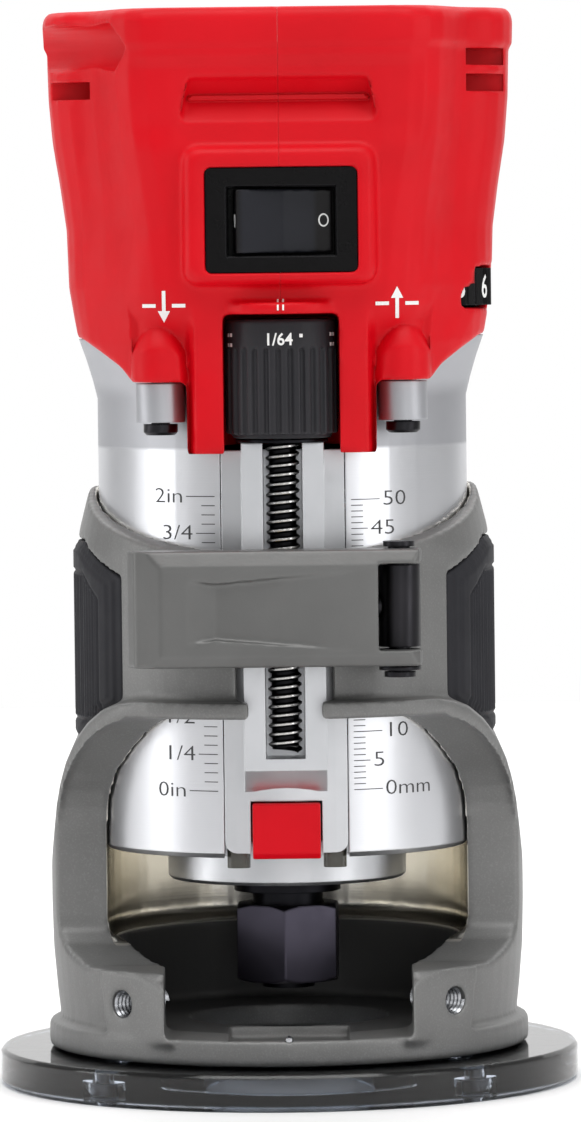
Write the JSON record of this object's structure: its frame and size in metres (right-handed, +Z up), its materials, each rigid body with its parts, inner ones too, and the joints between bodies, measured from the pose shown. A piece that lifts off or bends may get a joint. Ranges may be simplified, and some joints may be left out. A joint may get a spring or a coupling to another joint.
{
  "type": "compact fixed-base router",
  "caption": "Cordless compact router: a motor barrel with a red head slides in a split collar with a cam lever, over an open arch and a round clear base plate.",
  "frame": {"origin": "on the spindle axis at the underside of the round base plate", "axes": "+Z up along the spindle axis, -Y out of the front where the lever, knob and switch are, +X to the right seen from the front"},
  "size_m": [0.102, 0.102, 0.1875],
  "materials": {
    "cast_grey": "satin grey coat on cast aluminium",
    "clear_plate": "clear smoky polycarbonate",
    "black_screw": "black oxide",
    "grip_rubber": "soft black overmould",
    "steel": "ground",
    "laminated_steel": "laminated",
    "bright_aluminium": "turned and brushed",
    "red_plastic": "fine texture",
    "black_plastic": "moulded",
    "brass": "machined",
    "circuit_board": "solder mask",
    "blue_plastic": "moulded",
    "copper_wire": "enamelled copper",
    "lens": "clear light pipe"
  },
  "bodies": {
    "base": {"base_casting": "cast_grey", "sub_base": "clear_plate", "sub_base_screw_1": "black_screw", "sub_base_screw_2": "black_screw", "sub_base_screw_3": "black_screw", "sub_base_screw_4": "black_screw", "grip_left": "grip_rubber", "grip_right": "grip_rubber", "index_pin": "steel", "tie_bolt": "black_screw", "tie_bolt_nut": "black_screw", "lever_pivot_pin": "black_screw", "pivot_washer": "black_plastic"},
    "lever": {"clamp_lever": "cast_grey"},
    "nut_block": {"half_nut": "brass"},
    "motor": {"motor_barrel": "bright_aluminium", "front_track": "bright_aluminium", "end_cap": "bright_aluminium", "housing_left": "red_plastic", "housing_right": "red_plastic", "housing_screw_1": "black_screw", "housing_screw_2": "black_screw", "housing_screw_3": "black_screw", "barrel_screw_left": "black_screw", "barrel_screw_right": "black_screw", "switch_bezel": "black_plastic", "switch_module": "black_plastic", "speed_potentiometer": "blue_plastic", "screw_bush": "black_plastic", "lock_spring": "steel", "led_lens_left": "lens", "led_lens_right": "lens", "led_board": "circuit_board", "control_board": "circuit_board", "terminal_block": "black_plastic", "stator_core": "laminated_steel", "stator_windings": "copper_wire", "lower_bearing": "steel", "upper_bearing": "steel", "bearing_carrier": "bright_aluminium"},
    "depth_screw": {"depth_knob": "black_plastic", "lead_screw": "black_screw"},
    "rocker": {"switch_rocker": "black_plastic"},
    "dial": {"speed_dial": "black_plastic"},
    "lock": {"lock_button": "red_plastic", "lock_pin": "steel"},
    "spindle": {"spindle_shaft": "black_screw", "rotor_core": "laminated_steel", "cooling_fan": "black_plastic", "dust_slinger": "black_plastic"},
    "collet_sleeve": {"collet": "steel"},
    "nut": {"collet_nut": "black_screw"}
  },
  "joints": [
    {"name": "depth_slide", "type": "slide", "parent": "base", "child": "motor", "axis": [0, 0, 1], "range_m": [-0.015, 0.023]},
    {"name": "depth_screw_turn", "type": "hinge", "parent": "motor", "child": "depth_screw", "pos_m": [0, -0.0315, 0.12], "axis": [0, 0, 1], "range_deg": [-3410, 5225]},
    {"name": "clamp_lever_turn", "type": "hinge", "parent": "base", "child": "lever", "pos_m": [0.0197, -0.0392, 0.0853], "axis": [0, 0, 1], "range_deg": [0, 110]},
    {"name": "half_nut_slide", "type": "slide", "parent": "base", "child": "nut_block", "axis": [0, -1, 0], "range_m": [0, 0.0024], "stiffness_N_per_m": 800, "springref_m": -0.002},
    {"name": "rocker_tilt", "type": "hinge", "parent": "motor", "child": "rocker", "pos_m": [0.0003, -0.0386, 0.1511], "axis": [0, 0, 1], "range_deg": [-24, 0]},
    {"name": "speed_dial_turn", "type": "hinge", "parent": "motor", "child": "dial", "pos_m": [0.0236, -0.0162, 0.1395], "axis": [0, 0, 1], "range_deg": [0, 250]},
    {"name": "lock_press", "type": "slide", "parent": "motor", "child": "lock", "axis": [0, 1, 0], "range_m": [0, 0.003], "stiffness_N_per_m": 1200, "springref_m": -0.002},
    {"name": "spindle_turn", "type": "hinge", "parent": "motor", "child": "spindle", "pos_m": [0, 0, 0.06], "axis": [0, 0, 1], "continuous": true},
    {"name": "collet_slide", "type": "slide", "parent": "spindle", "child": "collet_sleeve", "axis": [0, 0, -1], "range_m": [0, 0.003]},
    {"name": "collet_nut_turn", "type": "hinge", "parent": "collet_sleeve", "child": "nut", "pos_m": [0, 0, 0.024], "axis": [0, 0, 1], "range_deg": [-725, 5]}
  ],
  "couplings": [
    {"joint": "depth_screw_turn", "follows": "depth_slide", "rad_per_m": 3957.9},
    {"joint": "collet_nut_turn", "follows": "collet_slide", "rad_per_m": -4188.8}
  ]
}
